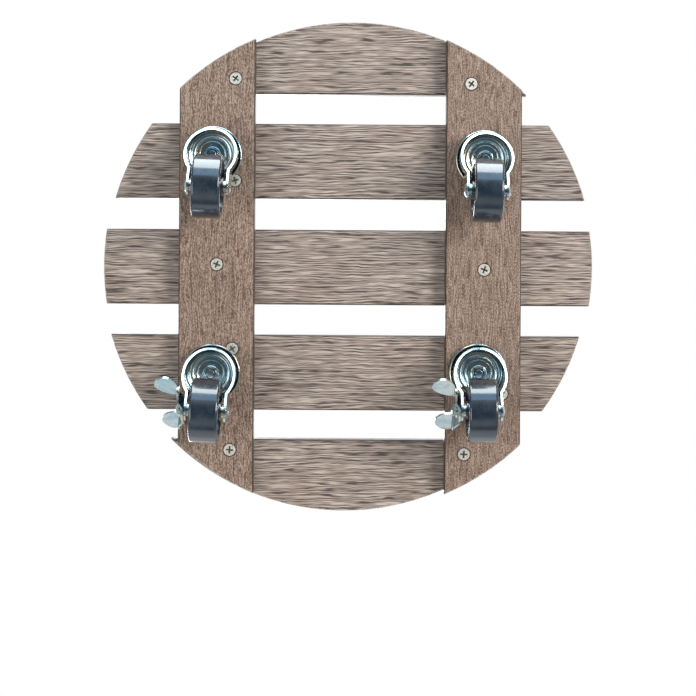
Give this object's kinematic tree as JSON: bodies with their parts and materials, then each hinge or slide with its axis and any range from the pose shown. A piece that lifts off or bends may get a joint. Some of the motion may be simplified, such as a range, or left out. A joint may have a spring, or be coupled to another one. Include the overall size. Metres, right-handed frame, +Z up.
{
  "type": "plant caddy",
  "caption": "Round slatted plant caddy: ribbed boards cut to a disc, screwed to two cross rails, on small swivel casters, some with a side brake lever.",
  "frame": {"origin": "on the floor, under the centre of the disc", "axes": "+Z up, out of the deck's upper face; the slats run along Y, the rails along X, and the two braked casters are on the -X side"},
  "size_m": [0.3006, 0.3006, 0.0742],
  "materials": {
    "slat_board": "extruded wood-plastic composite, brushed: taupe, streaked along its length, ribbed on top",
    "rail_board": "extruded wood-plastic composite, brushed: warm brown, finer grain",
    "screw_steel": "nickel-plated, bright",
    "bolt_steel": "zinc-plated, bright",
    "ball_steel": "polished bearing steel",
    "zinc_plate": "pressed sheet, zinc-plated with faint blue and yellow tints",
    "wheel_plastic": "glossy moulded plastic, dark slate blue"
  },
  "bodies": {
    "deck": {"slat_1": "slat_board", "slat_2": "slat_board", "slat_3": "slat_board", "slat_4": "slat_board", "slat_5": "slat_board", "rail_front": "rail_board", "screws_front": "screw_steel", "rail_rear": "rail_board", "screws_rear": "screw_steel", "kingpin_bolt_front_left": "bolt_steel", "dust_cover_front_left": "zinc_plate", "upper_race_front_left": "zinc_plate", "kingpin_nut_front_left": "zinc_plate", "kingpin_bolt_rear_left": "bolt_steel", "dust_cover_rear_left": "zinc_plate", "upper_race_rear_left": "zinc_plate", "kingpin_nut_rear_left": "zinc_plate", "kingpin_bolt_front_right": "bolt_steel", "dust_cover_front_right": "zinc_plate", "upper_race_front_right": "zinc_plate", "kingpin_nut_front_right": "zinc_plate", "kingpin_bolt_rear_right": "bolt_steel", "dust_cover_rear_right": "zinc_plate", "upper_race_rear_right": "zinc_plate", "kingpin_nut_rear_right": "zinc_plate"},
    "swivel_front_left": {"fork_front_left": "zinc_plate", "swivel_balls_front_left": "ball_steel", "axle_front_left": "bolt_steel", "wheel_spacers_front_left": "bolt_steel", "axle_nut_front_left": "bolt_steel"},
    "roller_front_left": {"wheel_front_left": "wheel_plastic"},
    "lever_front_left": {"brake_lever_front_left": "zinc_plate"},
    "swivel_rear_left": {"fork_rear_left": "zinc_plate", "swivel_balls_rear_left": "ball_steel", "axle_rear_left": "bolt_steel", "wheel_spacers_rear_left": "bolt_steel", "axle_nut_rear_left": "bolt_steel"},
    "roller_rear_left": {"wheel_rear_left": "wheel_plastic"},
    "lever_rear_left": {"brake_lever_rear_left": "zinc_plate"},
    "swivel_front_right": {"fork_front_right": "zinc_plate", "swivel_balls_front_right": "ball_steel", "axle_front_right": "bolt_steel", "wheel_spacers_front_right": "bolt_steel"},
    "roller_front_right": {"wheel_front_right": "wheel_plastic"},
    "swivel_rear_right": {"fork_rear_right": "zinc_plate", "swivel_balls_rear_right": "ball_steel", "axle_rear_right": "bolt_steel", "wheel_spacers_rear_right": "bolt_steel"},
    "roller_rear_right": {"wheel_rear_right": "wheel_plastic"}
  },
  "joints": [
    {"name": "swivel_turn_front_left", "type": "hinge", "parent": "deck", "child": "swivel_front_left", "pos_m": [-0.0651, -0.0826, 0.045], "axis": [0, 0, 1], "continuous": true},
    {"name": "wheel_spin_front_left", "type": "hinge", "parent": "swivel_front_left", "child": "roller_front_left", "pos_m": [-0.08547, -0.08363, 0.019], "axis": [-0.0506, 0.9987, 0], "continuous": true},
    {"name": "brake_press_front_left", "type": "hinge", "parent": "swivel_front_left", "child": "lever_front_left", "pos_m": [-0.08547, -0.08363, 0.019], "axis": [0.0506, -0.9987, 0], "range_deg": [0, 25]},
    {"name": "swivel_turn_rear_left", "type": "hinge", "parent": "deck", "child": "swivel_rear_left", "pos_m": [-0.064, 0.0794, 0.045], "axis": [0, 0, 1], "continuous": true},
    {"name": "wheel_spin_rear_left", "type": "hinge", "parent": "swivel_rear_left", "child": "roller_rear_left", "pos_m": [-0.0844, 0.0794, 0.019], "axis": [0, 1, 0], "continuous": true},
    {"name": "brake_press_rear_left", "type": "hinge", "parent": "swivel_rear_left", "child": "lever_rear_left", "pos_m": [-0.0844, 0.0794, 0.019], "axis": [0, -1, 0], "range_deg": [0, 25]},
    {"name": "swivel_turn_front_right", "type": "hinge", "parent": "deck", "child": "swivel_front_right", "pos_m": [0.0673, -0.0823, 0.045], "axis": [0, 0, 1], "continuous": true},
    {"name": "wheel_spin_front_right", "type": "hinge", "parent": "swivel_front_right", "child": "roller_front_right", "pos_m": [0.04692, -0.08312, 0.019], "axis": [-0.0401, 0.9992, 0], "continuous": true},
    {"name": "swivel_turn_rear_right", "type": "hinge", "parent": "deck", "child": "swivel_rear_right", "pos_m": [0.0658, 0.0826, 0.045], "axis": [0, 0, 1], "continuous": true},
    {"name": "wheel_spin_rear_right", "type": "hinge", "parent": "swivel_rear_right", "child": "roller_rear_right", "pos_m": [0.04541, 0.08203, 0.019], "axis": [-0.0279, 0.9996, 0], "continuous": true}
  ]
}
